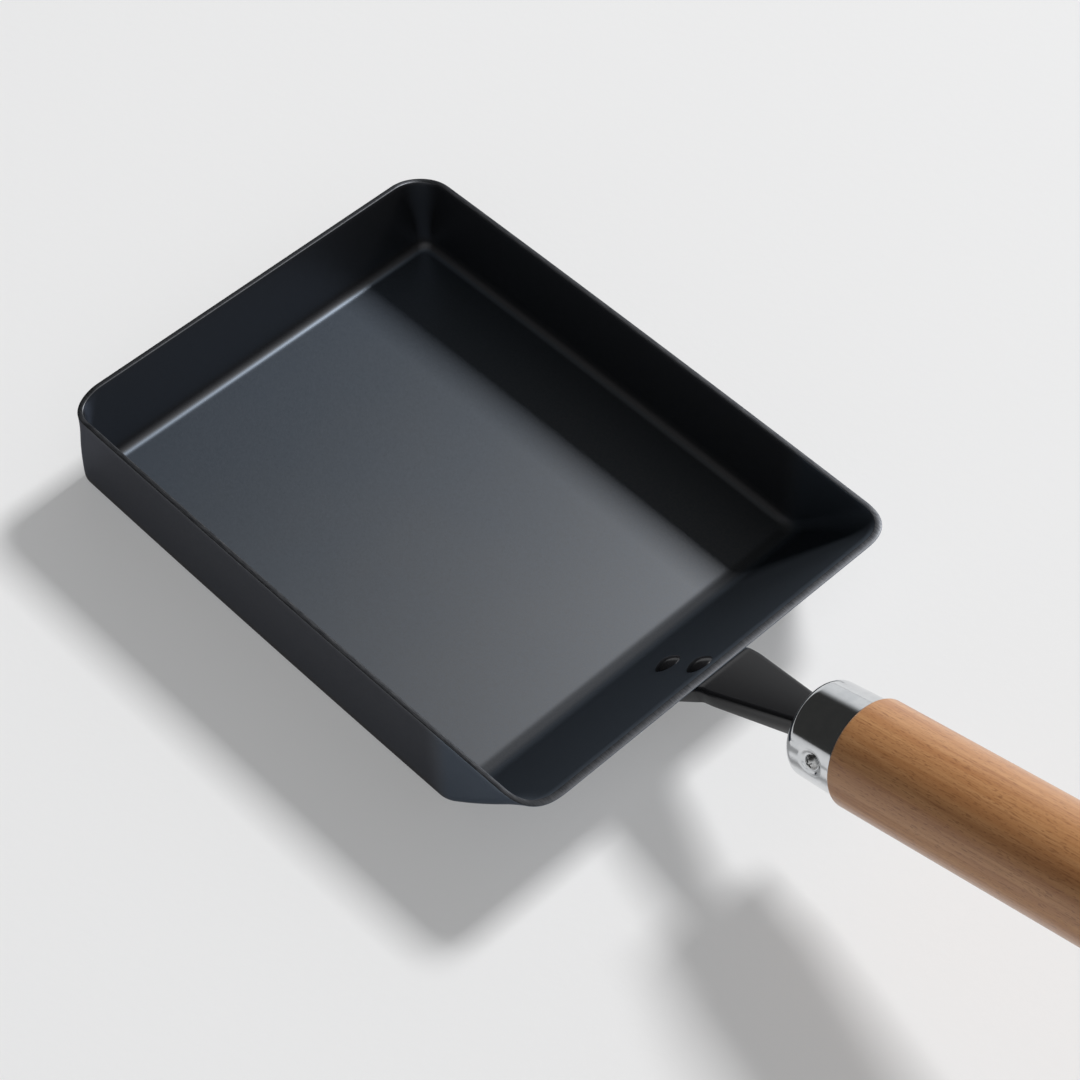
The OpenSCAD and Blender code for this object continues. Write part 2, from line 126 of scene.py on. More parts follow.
# Frames in millimetres: the grip's, the screw's and the hinge's
IN_GRIP = Matrix.Translation(GRIP_AT) @ Matrix.Rotation(-GRIP_ANG, 4, "Y")
AT_SCREW = (IN_GRIP @ Matrix.Translation((SCREW_X - FERRULE_LEAD, 0, 0))
            @ Matrix.Rotation(SCREW_TURN, 4, "X"))
AT_HINGE = Matrix.Translation(HINGE_AT)
SIDEWAYS = Matrix.Rotation(math.pi / 2, 4, "X")
TO_METRES = Matrix.Scale(MM, 4)


# Making meshes

def in_scene(name, data):
    thing = bpy.data.objects.new(name, data)
    bpy.context.scene.collection.objects.link(thing)
    return thing


def piece_from(name, points, faces, place=Matrix.Identity(4), face_kinds=None):
    """A closed mesh object, from points in millimetres in the frame `place`."""
    mesh = bpy.data.meshes.new(name)
    to_part = TO_METRES @ place
    mesh.from_pydata([to_part @ Vector(p) for p in points], [], faces)
    if face_kinds:
        mesh.polygons.foreach_set("material_index", face_kinds)
    piece = in_scene(name, mesh)
    outwards(piece)
    return piece


def outwards(piece):
    """Merges doubles and turns every face outwards."""
    shape = bmesh.new()
    shape.from_mesh(piece.data)
    bmesh.ops.remove_doubles(shape, verts=shape.verts, dist=0.5e-6)
    bmesh.ops.recalc_face_normals(shape, faces=shape.faces)
    shape.to_mesh(piece.data)
    shape.free()


def settled(piece):
    """Turns what the piece's modifiers make into its plain mesh."""
    depsgraph = bpy.context.evaluated_depsgraph_get()
    mesh = bpy.data.meshes.new_from_object(piece.evaluated_get(depsgraph))
    piece.modifiers.clear()
    piece.data = mesh
    return piece


def smoothed(piece, sharp_over=40):
    for polygon in piece.data.polygons:
        polygon.use_smooth = True
    piece.data.set_sharp_from_angle(angle=math.radians(sharp_over))
    return piece


def cut(piece, *cutters):
    for cutter in cutters:
        modifier = piece.modifiers.new("cut", "BOOLEAN")
        modifier.operation = "DIFFERENCE"
        modifier.solver = "EXACT"
        modifier.object = cutter
    bpy.context.view_layer.update()
    settled(piece)
    for cutter in cutters:
        bpy.data.objects.remove(cutter)
    return piece


def bevelled(piece, width, steps=2, over=40):
    """Breaks every edge that is sharper than `over` degrees."""
    modifier = piece.modifiers.new("broken edges", "BEVEL")
    modifier.width = width * MM
    modifier.segments = steps
    modifier.limit_method = "ANGLE"
    modifier.angle_limit = math.radians(over)
    modifier.harden_normals = False
    return settled(piece)


def arc(centre, radius, start, end, steps):
    """Points on an arc round centre, from start to end in degrees, both ends included."""
    angles = [math.radians(start + (end - start) * i / steps) for i in range(steps + 1)]
    return [(centre[0] + radius * math.cos(a), centre[1] + radius * math.sin(a)) for a in angles]


def ring_faces(rings, n):
    """Quads between neighbouring rings of n points each."""
    return [[j * n + i, j * n + (i + 1) % n, (j + 1) * n + (i + 1) % n, (j + 1) * n + i]
            for j in range(rings - 1) for i in range(n)]


def spun(name, outline, facets, place=Matrix.Identity(4), along_x=False):
    """Spins an outline of (height, radius) points about its axis. A radius of 0 closes it."""
    points, rows = [], []
    for height, radius in outline:
        count = 1 if radius < 1e-6 else facets
        rows.append(range(len(points), len(points) + count))
        for i in range(count):
            a = 2 * math.pi * i / facets
            x, y = radius * math.cos(a), radius * math.sin(a)
            points.append((height, x, y) if along_x else (x, y, height))
    faces = []
    for low, high in zip(rows, rows[1:]):
        for i in range(facets):
            j = (i + 1) % facets
            corners = [low[i % len(low)], low[j % len(low)], high[j % len(high)], high[i % len(high)]]
            faces.append([c for k, c in enumerate(corners) if c != corners[k - 1]])
    return piece_from(name, points, [f for f in faces if len(f) > 2], place)


def block(size, place):
    """A plain box, only used to cut a slot."""
    across_x, across_y, across_z = ((-s / 2, s / 2) for s in size)
    points = [(x, y, z) for x in across_x for y in across_y for z in across_z]
    faces = [(0, 1, 3, 2), (4, 6, 7, 5), (0, 4, 5, 1), (2, 3, 7, 6), (0, 2, 6, 4), (1, 5, 7, 3)]
    return piece_from("cutter", points, faces, place)


def drill(radius, low, high, place, facets=64):
    return spun("cutter", [(low, 0), (low, radius), (high, radius), (high, 0)], facets, place)


# The pan

def turn(z):
    """How far the walls have turned outwards at height z."""
    return clamped((z - PAN_H + LIP_H) / LIP_H) ** 2


def skin(t, run, lip, fillet_r, inside):
    """Outward offset and height of a skin of the pan: t is 0 to 1 over the fillet and 1 to 2 up the wall."""
    lean = math.atan2(PAN_H, run)
    start = -fillet_r * math.tan(lean / 2)
    r = fillet_r - inside
    if t <= 1:
        return start + r * math.sin(lean * t), fillet_r - r * math.cos(lean * t)
    foot = fillet_r - r * math.cos(lean)
    z = foot + (PAN_H - foot) * (t - 1)
    return z * run / PAN_H - inside / math.sin(lean) + lip * turn(z), z


def pan_corner(k, t, inside, steps):
    """Points round one corner of the pan, at t on a skin; corners 0 and 3 are beside the handle."""
    sx = 1 if k in (0, 3) else -1
    sy = 1 if k < 2 else -1
    side = skin(t, STEEP_RUN, LIP_OUT, FLOOR_R, inside)
    front = skin(t, SLOPE_RUN, 0, SLOPE_R, inside)
    x_off = front if sx > 0 else side
    up = 1 - skin(t, STEEP_RUN, LIP_OUT, FLOOR_R, 0)[0] / skin(0, STEEP_RUN, LIP_OUT, FLOOR_R, 0)[0]
    r = (FOOT_CORNER_R + (CORNER_R - FOOT_CORNER_R) * up + CORNER_OPEN * max(0, t - 1) ** 2
         - inside * min(1, up))
    cx = sx * (FOOT_L / 2 + x_off[0] - r)
    cy = sy * (FOOT_W / 2 + side[0] - r)
    for i in range(steps + 1):
        a = math.pi / 2 * (k + i / steps)
        w = math.cos(a) ** 2
        lip = turn(side[1]) * math.sin(2 * a) ** 2
        reach = r + CORNER_LIP * lip
        dip = CORNER_DIP * lip if sx < 0 else 0
        yield Vector((cx + reach * math.cos(a), cy + reach * math.sin(a),
                      side[1] * (1 - w) + x_off[1] * w - dip))


def pan_ring(t, inside, corner_steps=20, side_steps=14):
    """One closed ring round the pan, at t on a skin."""
    corners = [list(pan_corner(k, t, inside, corner_steps)) for k in range(4)]
    ring = []
    for k in range(4):
        ring += corners[k]
        start, end = corners[k][-1], corners[(k + 1) % 4][0]
        side = {0: 1, 2: -1}.get(k, 0)
        for i in range(1, side_steps):
            s = i / side_steps
            ring.append(start.lerp(end, s) + Vector((0, side * SIDE_BOW * 4 * s * (1 - s), 0)))
    return ring


def pan_shell(fillet_steps=14, wall_steps=16):
    """The drawn sheet: an outer and an inner skin, the ground rim between them and the rivets' holes."""
    top = 2 - RIM_EDGE_R / (PAN_H - FLOOR_R)
    stops = [i / fillet_steps for i in range(fillet_steps + 1)] + [OVER_FILLET]
    stops += [1 + (top - 1) * i / wall_steps for i in range(1, wall_steps + 1)]
    outer, inner = ([pan_ring(t, inside) for t in stops] for inside in (0, SHEET_T))
    for skin_rings in (outer, inner):
        flat = skin_rings[0]
        middle = Vector((0, 0, flat[0].z))
        skin_rings[:0] = [[p.lerp(middle, share) for p in flat] for share in ON_FLOOR]
    edge_out, edge_in = pan_ring(2, 0), pan_ring(2, SHEET_T)
    rim = []
    for side, angles in ((0, (30, 60, 90)), (1, (90, 60, 30))):
        for angle in angles:
            a = math.radians(angle)
            drop = Vector((0, 0, RIM_EDGE_R * (1 - math.sin(a))))
            ring = []
            for p, q in zip(edge_out, edge_in):
                share = RIM_EDGE_R * (1 - math.cos(a)) / (q - p).length
                ring.append(p.lerp(q, share if side == 0 else 1 - share) - drop)
            rim.append(ring)
    rings = outer + rim + inner[::-1]
    n = len(rings[0])
    points = [p for ring in rings for p in ring]
    points += [(0, 0, 0), (0, 0, SHEET_T)]
    last = (len(rings) - 1) * n
    faces = ring_faces(len(rings), n)
    ground = range(len(outer) + 1, len(outer) + len(rim) - 2)
    kinds = [1 if j in ground else 0 for j in range(len(rings) - 1) for i in range(n)]
    faces += [[last + n, (i + 1) % n, i] for i in range(n)]
    faces += [[last + n + 1, last + i, last + (i + 1) % n] for i in range(n)]
    kinds += [0] * (2 * n)
    return smoothed(cut(piece_from("pan_shell", points, faces, face_kinds=kinds), *rivet_holes()))


def at_rivet(drop):
    at = BEND_AT - drop * along(SLOPE_ANG) - SEAT_GAP * below(SLOPE_ANG)
    at.y = RIVET_SIDE
    return Matrix.Translation(at) @ Matrix.Rotation(math.pi - SLOPE_ANG, 4, "Y")


def rivet_holes():
    radius = RIVET_D / 2 + SEAT_GAP
    return [drill(radius, -SHEET_T - PAST, STEM_T + PAST, at_rivet(drop)) for drop in RIVET_DROPS]


# The stem

def down_stem(u):
    return clamped((u - TAPER_FROM) / (TAPER_TO - TAPER_FROM))


def half_width(u):
    """Half the stem's width at u, which is measured along it from its bend."""
    end = max(0, PLATE_CORNER_R - (u + PLATE_L))
    plate = PLATE_HW - PLATE_CORNER_R + math.sqrt(max(0.01, PLATE_CORNER_R ** 2 - end * end))
    neck = STEM_HW + (TANG_HW - STEM_HW) * down_stem(u)
    return plate + (neck - plate) * ease(u, -TAPER_FROM, TAPER_FROM)


def fold(u):
    """How deep the stem's sides are folded down at u."""
    flat = STEM_T + LEAST_FOLD
    full = STEM_D + (TANG_D - STEM_D) * down_stem(u)
    return flat + (full - flat) * ease(u, -PLATE_L, 2 * PLATE_CORNER_R - PLATE_L)


def bend_stations(at, u, start, end, steps=16):
    reach = BEND_R * math.tan((start - end) / 2)
    for i in range(steps + 1):
        s = i / steps
        a = start + (end - start) * s
        yield u + reach * (2 * s - 1), at - reach * along(start) + BEND_R * (below(start) - below(a)), a


def straight_stations(at, u, angle, start, end, steps):
    for i in range(steps + 1):
        d = start + (end - start) * i / steps
        yield u + d, at + d * along(angle), angle


def stem_stations():
    first = BEND_R * math.tan((SLOPE_ANG - STEM_ANG) / 2)
    second = BEND_R * math.tan((STEM_ANG - GRIP_ANG) / 2)
    for i in range(10):
        d = -PLATE_L + PLATE_CORNER_R * (1 - math.cos(math.radians(10 * i)))
        yield d, BEND_AT + d * along(SLOPE_ANG), SLOPE_ANG
    yield from straight_stations(BEND_AT, 0, SLOPE_ANG, PLATE_CORNER_R - PLATE_L, -first - BY_BEND, 12)
    yield from bend_stations(BEND_AT, 0, SLOPE_ANG, STEM_ANG)
    yield from straight_stations(BEND_AT, 0, STEM_ANG, first + BY_BEND, STEM_L - second - BY_BEND, 24)
    yield from bend_stations(TANG_AT, STEM_L, STEM_ANG, GRIP_ANG)
    yield from straight_stations(TANG_AT, STEM_L, GRIP_ANG, second + BY_BEND, TANG_L, 4)


def stem_section(u, edge_steps=8):
    """The folded section at u as (across, down) points: its legs' inner faces end in the fold."""
    w, f, r = half_width(u), fold(u), EDGE_R
    inner = w - STEM_T
    left = arc((r - w, r), r, 180, 270, edge_steps)
    right = arc((w - r, r), r, -90, 0, edge_steps)
    return [(-w, f), *left, *right, (w, f), (inner, f), (inner, STEM_T), (-inner, STEM_T), (-inner, f)]


def stem_bracket():
    rings = []
    for u, at, angle in stem_stations():
        rings.append([at + down * below(angle) + Vector((0, -across, 0)) for across, down in stem_section(u)])
    n = len(rings[0])
    last = (len(rings) - 1) * n
    half = (n - 5) // 2
    # each end is closed in three: the left leg, the plate's middle and the right leg
    caps = [[*range(half + 1), n - 2, n - 1], [half, half + 1, n - 3, n - 2], [*range(half + 1, n - 2)]]
    faces = ring_faces(len(rings), n) + caps + [[last + c for c in cap] for cap in caps]
    stem = piece_from("stem_bracket", [p for ring in rings for p in ring], faces)
    return smoothed(cut(bevelled(stem, STEM_BEVEL), *rivet_holes()))


# Geometry node trees

class Tree:
    """A geometry node tree with named inputs, run once on a piece and turned into its mesh."""

    def __init__(self, name, **inputs):
        self.tree = bpy.data.node_groups.new(name, "GeometryNodeTree")
        self.add_socket("Geometry", "INPUT", "NodeSocketGeometry")
        self.add_socket("Geometry", "OUTPUT", "NodeSocketGeometry")
        self.names = {}
        for key, kind in inputs.items():
            self.names[key] = self.add_socket(key.replace("_", " ").capitalize(), "INPUT", kind).identifier
        self.start = self.tree.nodes.new("NodeGroupInput")

    def add_socket(self, name, way, kind):
        return self.tree.interface.new_socket(name=name, in_out=way, socket_type=kind)

    def input(self, key):
        return next(s for s in self.start.outputs if s.identifier == self.names[key])

    def node(self, kind, settings=None, sockets=None, out=0):
        node = self.tree.nodes.new(kind)
        for key, value in (settings or {}).items():
            setattr(node, key, value)
        for key, value in (sockets or {}).items():
            if isinstance(value, bpy.types.NodeSocket):
                self.tree.links.new(value, node.inputs[key])
            else:
                node.inputs[key].default_value = value
        return node.outputs[out]

    def finish(self, geometry, material):
        realized = self.node("GeometryNodeRealizeInstances", sockets={"Geometry": geometry})
        painted = self.node("GeometryNodeSetMaterial", sockets={"Geometry": realized, "Material": material})
        end = self.tree.nodes.new("NodeGroupOutput")
        self.tree.links.new(painted, end.inputs[0])

    def run(self, piece, **values):
        modifier = piece.modifiers.new(self.tree.name, "NODES")
        modifier.node_group = self.tree
        for key, value in values.items():
            modifier[self.names[key]] = value
        bpy.context.view_layer.update()
        return settled(piece)


def rivet_tree(material):
    """Sets a rivet on the sloped wall, at a distance down from the stem's bend."""
    tree = Tree("rivet_on_slope", drop="NodeSocketFloat", slope_angle="NodeSocketFloat",
                bend="NodeSocketVector")
    angle, drop = tree.input("slope_angle"), tree.input("drop")

    def maths(operation, *values):
        return tree.node("ShaderNodeMath", {"operation": operation}, dict(enumerate(values)))

    back = tree.node("ShaderNodeCombineXYZ", sockets={
        "X": maths("MULTIPLY", maths("COSINE", angle), drop),
        "Z": maths("MULTIPLY", maths("SINE", angle), drop)})
    at = tree.node("ShaderNodeVectorMath", {"operation": "SUBTRACT"}, {0: tree.input("bend"), 1: back})
    point = tree.node("GeometryNodeMeshLine", sockets={"Count": 1, "Start Location": at})
    lean = tree.node("ShaderNodeCombineXYZ", sockets={"Y": maths("SUBTRACT", math.pi, angle)})
    turned = tree.node("FunctionNodeEulerToRotation", sockets={"Euler": lean})
    rivets = tree.node("GeometryNodeInstanceOnPoints", sockets={
        "Points": point, "Instance": tree.start.outputs[0], "Rotation": turned})
    tree.finish(rivets, material)
    return tree


def wire_tree(material):
    """Rounds the corners of a path, each by its own radius, and draws a wire along it."""
    tree = Tree("drawn_wire", wire_diameter="NodeSocketFloat", bend_facets="NodeSocketInt",
                round_facets="NodeSocketInt")
    path = tree.node("GeometryNodeMeshToCurve", sockets={"Mesh": tree.start.outputs[0]})
    radius = tree.node("GeometryNodeInputNamedAttribute", {"data_type": "FLOAT"}, {"Name": "bend_radius"})
    rounded = tree.node("GeometryNodeFilletCurve", {"mode": "POLY"}, {
        "Curve": path, "Count": tree.input("bend_facets"), "Radius": radius, "Limit Radius": True})
    half = tree.node("ShaderNodeMath", {"operation": "MULTIPLY"}, {0: tree.input("wire_diameter"), 1: 0.5})
    ring = tree.node("GeometryNodeCurvePrimitiveCircle", sockets={
        "Resolution": tree.input("round_facets"), "Radius": half})
    wire = tree.node("GeometryNodeCurveToMesh", sockets={
        "Curve": rounded, "Profile Curve": ring, "Fill Caps": True})
    tree.finish(wire, material)
    return tree


def turned_tree(material):
    """Turns a bar to the radius that is written on each point of its axis."""
    tree = Tree("turned_bar", facets="NodeSocketInt")
    axis = tree.node("GeometryNodeMeshToCurve", sockets={"Mesh": tree.start.outputs[0]})
    radius = tree.node("GeometryNodeInputNamedAttribute", {"data_type": "FLOAT"}, {"Name": "turned_radius"})
    ring = tree.node("GeometryNodeCurvePrimitiveCircle", sockets={
        "Resolution": tree.input("facets"), "Radius": 1.0})
    bar = tree.node("GeometryNodeCurveToMesh", sockets={
        "Curve": axis, "Profile Curve": ring, "Scale": radius, "Fill Caps": True})
    tree.finish(bar, material)
    return tree


def path_piece(name, points, attribute, values, place=Matrix.Identity(4)):
    """An open path of edges with one number on each point, for a geometry node tree."""
    mesh = bpy.data.meshes.new(name)
    to_part = TO_METRES @ place
    edges = [(i, i + 1) for i in range(len(points) - 1)]
    mesh.from_pydata([to_part @ Vector(p) for p in points], edges, [])
    layer = mesh.attributes.new(attribute, "FLOAT", "POINT")
    for item, value in zip(layer.data, values):
        item.value = value * MM
    return in_scene(name, mesh)


# Rivets, ferrule, screw, grip, bush and bail

def dome_outline(d, h, base, way, steps=14):
    """From the top of a dome of diameter d and height h to its foot, which stands on base."""
    r = (d * d / 4 + h * h) / (2 * h)
    span = math.asin(d / 2 / r)
    for i in range(steps + 1):
        a = span * i / steps
        height = r * math.cos(a) - r + h
        radius = r * math.sin(a) - (DOME_EDGE_IN if i == steps else 0)
        yield base + way * max(0, height), radius


def rivet_body(name):
    inside = -SHEET_T - SEAT_GAP
    outside = STEM_T + 2 * SEAT_GAP
    outline = list(dome_outline(HEAD_D, HEAD_H, inside, -1))
    outline += [(inside, RIVET_D / 2), (outside, RIVET_D / 2)]
    outline += list(dome_outline(FORMED_D, FORMED_H, outside, 1))[::-1]
    return spun(name, outline, 64)


def rivet(name, drop, tree):
    bend = (BEND_AT - SEAT_GAP * below(SLOPE_ANG) + Vector((0, RIVET_SIDE, 0))) * MM
    piece = tree.run(rivet_body(name), drop=drop * MM, slope_angle=SLOPE_ANG, bend=tuple(bend))
    outwards(piece)
    return smoothed(piece)


def tang_slot(start, end):
    """A cutter for the slot round the tang, from start to end along the grip."""
    depth = TANG_D + 2 * SLOT_GAP
    middle = Vector(((start + end) / 2, 0, TANG_RISE + SLOT_GAP - depth / 2))
    return block((end - start, 2 * (TANG_HW + SLOT_GAP), depth), IN_GRIP @ Matrix.Translation(middle))


def ferrule_cap(facets=320, wall_steps=60):
    corner = (FERRULE_R, ferrule_radius(FERRULE_R) - FERRULE_R)
    back = FERRULE_L - FERRULE_EDGE_R
    lip = (back, ferrule_radius(back) - FERRULE_EDGE_R)
    outline = [(0, 0), *arc(corner, FERRULE_R, 180, 90, 10)]
    for i in range(1, wall_steps + 1):
        x = FERRULE_R + (back - FERRULE_R) * i / wall_steps
        outline.append((x, ferrule_radius(x)))
    outline += arc(lip, FERRULE_EDGE_R, 90, 0, 3)[1:]
    for i in range(wall_steps + 1):
        x = FERRULE_L - (FERRULE_L - FERRULE_R) * i / wall_steps
        outline.append((x, ferrule_radius(x) - FERRULE_T))
    outline += arc(corner, FERRULE_R - FERRULE_T, 90, 180, 6)[1:]
    outline.append((FERRULE_T, 0))
    place = IN_GRIP @ Matrix.Translation((-FERRULE_LEAD, 0, 0))
    cap = spun("ferrule_cap", outline, facets, place, along_x=True)
    press_dimple(cap)
    slot = tang_slot(-FERRULE_LEAD - FERRULE_R, -FERRULE_LEAD + FERRULE_R)
    return smoothed(cut(cap, slot), 50)


def press_dimple(cap):
    """Presses the round seat of the screw into the ferrule's wall."""
    to_screw = AT_SCREW.inverted() @ TO_METRES.inverted()
    back = to_screw.inverted()
    surface = ferrule_radius(SCREW_X)
    for vertex in cap.data.vertices:
        p = to_screw @ vertex.co
        away = math.hypot(p.x, p.y)
        if p.z > surface / 2 and away < DIMPLE_D:
            inwards = math.sqrt(max(0, surface ** 2 - p.y ** 2)) - p.z
            pressed = SEAT_R - max(0, min(FERRULE_T, inwards))
            share = 1 - ease(away, SCREW_HEAD_D / 2 + DIMPLE_FLAT, DIMPLE_D / 2 + DIMPLE_FADE)
            p.z += (min(pressed, p.z) - p.z) * share
            vertex.co = back @ p


def cross_screw():
    top = SEAT_R + SEAT_GAP
    tip = top - SCREW_L
    outline = [(tip, 0), (tip, SCREW_D / 2 - SCREW_TIP_IN), (tip + SCREW_TIP_L, SCREW_D / 2),
               (top, SCREW_D / 2)]
    outline += list(dome_outline(SCREW_HEAD_D, SCREW_HEAD_H, top, 1))[::-1]
    screw = spun("cross_screw", outline, 72, AT_SCREW)
    bars = [block((RECESS_L, RECESS_W, 2 * RECESS_H),
                  AT_SCREW @ Matrix.Translation((0, 0, SEAT_R + SCREW_HEAD_H))
                  @ Matrix.Rotation(RECESS_TURN + math.radians(bar), 4, "Z")) for bar in (0, 90)]
    cut(screw, *bars)
    return smoothed(bevelled(screw, SCREW_BEVEL), 35)


def turned_grip(tree, length_steps=40):
    r = GRIP_D / 2
    spigot = ferrule_radius(FERRULE_R) - FERRULE_T - SEAT_GAP
    front = FERRULE_T + SEAT_GAP - FERRULE_LEAD
    start = SHOULDER_X + SEAT_GAP
    full, butt = start + GRIP_FRONT_R, BUTT_X - BUTT_R
    outline = [(front, AXIS_R), (front + SHOULDER_STEP, spigot - SPIGOT_CHAMFER),
               (front + SPIGOT_CHAMFER, spigot), (start - SHOULDER_STEP, spigot)]
    outline += arc((full, r - GRIP_FRONT_R), GRIP_FRONT_R, 180, 90, 9)
    outline += [(full + (butt - full) * i / length_steps, r) for i in range(1, length_steps)]
    outline += arc((butt, r - BUTT_R), BUTT_R, 90, 0, 24)
    outline += [(BUTT_X + BUTT_STEP, AXIS_R)]
    axis = path_piece("turned_grip", [(x, 0, 0) for x, _ in outline], "turned_radius",
                      [radius for _, radius in outline], IN_GRIP)
    grip = tree.run(axis, facets=128)
    outwards(grip)
    slot = tang_slot(-FERRULE_LEAD - PAST, TANG_L + 2 * SLOT_GAP)
    cross = drill(BUSH_D / 2 + SEAT_GAP, -GRIP_D, GRIP_D,
                  IN_GRIP @ Matrix.Translation((BUTT_X - HINGE_IN, 0, 0)) @ SIDEWAYS)
    seat = drill(DIMPLE_D / 2 + SEAT_WIDER, SEAT_R - FERRULE_T - SEAT_GAP,
                 FERRULE_D / 2 + SEAT_HIGHER, AT_SCREW)
    return smoothed(cut(grip, slot, cross, seat), 35)


def hinge_bush():
    r, bore, half, edge = BUSH_D / 2, WIRE_D / 2 + PIN_CLEAR, BUSH_L / 2, BUSH_BEVEL
    outline = [(-half, bore), (-half, r - edge), (-half + edge, r), (half - edge, r), (half, r - edge),
               (half, bore), (-half, bore)]
    return smoothed(spun("hinge_bush", outline, 72, AT_HINGE @ SIDEWAYS), 30)


def wire_bail(tree):
    leg_end = BAIL_L - WIRE_D / 2
    pin_end = GRIP_D / 2 + BUSH_OUT - PIN_L
    half = [(0, pin_end, 0), (0, LEG_Y, 0), (0, LEG_Y, -leg_end)]
    path = half + [(0, -y, z) for _, y, z in half[::-1]]
    # the bow's two bends all but meet in its middle
    pin_bend, bow = LEG_Y - BUSH_L / 2, LEG_Y - BOW_GAP
    bends = [0, pin_bend, bow, bow, pin_bend, 0]
    bail = tree.run(path_piece("wire_bail", path, "bend_radius", bends, AT_HINGE),
                    wire_diameter=WIRE_D * MM, bend_facets=20, round_facets=32)
    outwards(bail)
    return smoothed(bail, 50)


# Materials

class Value:
    """A shader socket that takes Python's own operators."""

    def __init__(self, finish, socket):
        self.finish = finish
        self.socket = socket

    def maths(self, operation, first, second):
        return self.finish.node("Math", {"operation": operation}, {0: first, 1: second})

    def __add__(self, other):
        return self.maths("ADD", self, other)

    def __sub__(self, other):
        return self.maths("SUBTRACT", self, other)

    def __mul__(self, other):
        return self.maths("MULTIPLY", self, other)

    def __rsub__(self, other):
        return self.maths("SUBTRACT", other, self)

    __radd__ = __add__


class Finish:
    """One material: its nodes come from node(), and what it paints from paint()."""

    def __init__(self, name, world=None):
        self.material = world or bpy.data.materials.new(name)
        self.material.use_nodes = True
        self.tree = self.material.node_tree
        self.tree.nodes.clear()

    def node(self, kind, settings=None, sockets=None, out=0):
        node = self.tree.nodes.new("ShaderNode" + kind)
        for key, value in (settings or {}).items():
            if key == "stops":
                ramp = node.color_ramp.elements
                while len(ramp) < len(value):
                    ramp.new(0.5)
                for element, (place, colour) in zip(ramp, value):
                    element.position = place
                    element.color = (*colour, 1)
            else:
                setattr(node, key, value)
        for key, value in (sockets or {}).items():
            socket = node.inputs[key]
            if isinstance(value, Value):
                self.tree.links.new(value.socket, socket)
            elif socket.type == "RGBA" and len(value) == 3:
                socket.default_value = (*value, 1)
            else:
                socket.default_value = value
        return Value(self, node.outputs[out])

    def place(self, stretch=(1, 1, 1), centre=(0, 0, 0), turned=(0, 0, 0)):
        """Object coordinates in millimetres, in a frame at centre, with each axis multiplied by stretch."""
        spot = self.node("TexCoord", out="Object")
        scale = tuple(MM / s for s in stretch)
        return self.node("Mapping", {"vector_type": "TEXTURE"}, {
            "Vector": spot, "Location": centre, "Rotation": turned, "Scale": scale})

    def on_grip(self, stretch=(1, 1, 1)):
        """The same in the grip's own frame, whose X runs along the wood."""
        return self.place(stretch, GRIP_AT * MM, (0, -GRIP_ANG, 0))

    def noise(self, where, scale=1.0, detail=3.0, rough=0.55, bent=0.0):
        return self.node("TexNoise", sockets={
            "Vector": where, "Scale": scale, "Detail": detail, "Roughness": rough, "Distortion": bent})

    def step(self, value, start, end):
        return self.node("MapRange", {"interpolation_type": "SMOOTHSTEP"}, {
            "Value": value, "From Min": start, "From Max": end})

    def blend(self, share, first, second):
        return self.node("Mix", {"data_type": "RGBA"}, {0: share, 6: first, 7: second}, out=2)

    def bump(self, height, strength, depth):
        return self.node("Bump", sockets={"Height": height, "Strength": strength, "Distance": depth * MM})

    def paint(self, **sockets):
        names = {key.replace("_", " "): value for key, value in sockets.items()}
        shader = self.node("BsdfPrincipled", sockets=names)
        end = self.tree.nodes.new("ShaderNodeOutputMaterial")
        self.tree.links.new(shader.socket, end.inputs[0])
        return self.material


def pan_steel():
    """Blued steel: the floor goes from blue to grey towards the handle; the walls are darker by painted
    shade, and the floor's fold by painted shade that dulls its highlight.
    """
    blue, grey, dark_grain = (0.16, 0.191, 0.233), (0.208, 0.217, 0.232), (0.135, 0.153, 0.181)
    slope_blue, painted_wall_shade, painted_fold_shade = (0.148, 0.172, 0.205), (0.118, 0.122, 0.131), (0.105, 0.101, 0.1)
    f = Finish("pan_steel")
    spot = f.place()
    grain = f.noise(spot, 1.6, 3)
    fine = f.noise(spot, 5.0, 2)
    cloud = f.noise(spot, 0.03, 3)
    along_x, height = (f.node("SeparateXYZ", sockets={"Vector": spot}, out=axis) for axis in "XZ")
    tint = f.blend(f.step(along_x + cloud * 60, -70, 110), blue, grey)
    tint = f.blend(f.step(grain, 0.3, 0.7) * 0.35, tint, dark_grain)
    over_floor = f.step(height, SHEET_T + 0.05, SHEET_T + 2.9)
    on_slope = f.step(along_x, FOOT_L / 2 - 8.25, FOOT_L / 2 + 1.75)
    fillet = f.step(height, SHEET_T + 0.02, SHEET_T + 0.8) * (1 - f.step(height, 3.5, 7.0))
    colour = f.blend(over_floor * on_slope, tint, slope_blue)
    # painted shade: the steep walls, inside and out, are darker than the floor
    colour = f.blend(over_floor * (1 - on_slope), colour, painted_wall_shade)
    # painted shade: the fold between floor and walls is darker, which dulls and warms its highlight
    colour = f.blend(fillet * (1 - on_slope) * 0.8, colour, painted_fold_shade)
    return f.paint(Base_Color=colour, Metallic=1.0, Roughness=0.38 + grain * 0.1 + fillet * 0.14,
                   Specular_Tint=(0.28, 0.28, 0.3), Normal=f.bump(fine, 0.25, 0.02))


def ground_steel():
    """The rim's edge, bare after grinding."""
    dull, bare = (0.05, 0.053, 0.06), (0.115, 0.118, 0.125)
    f = Finish("ground_steel")
    marks = f.noise(f.place((0.25, 6, 1)), 1.0, 4, 0.7)
    colour = f.blend(f.step(marks, 0.35, 0.65), dull, bare)
    return f.paint(Base_Color=colour, Metallic=1.0, Roughness=0.32 + marks * 0.2,
                   Specular_Tint=(0.5, 0.5, 0.53), Normal=f.bump(marks, 0.5, 0.02))


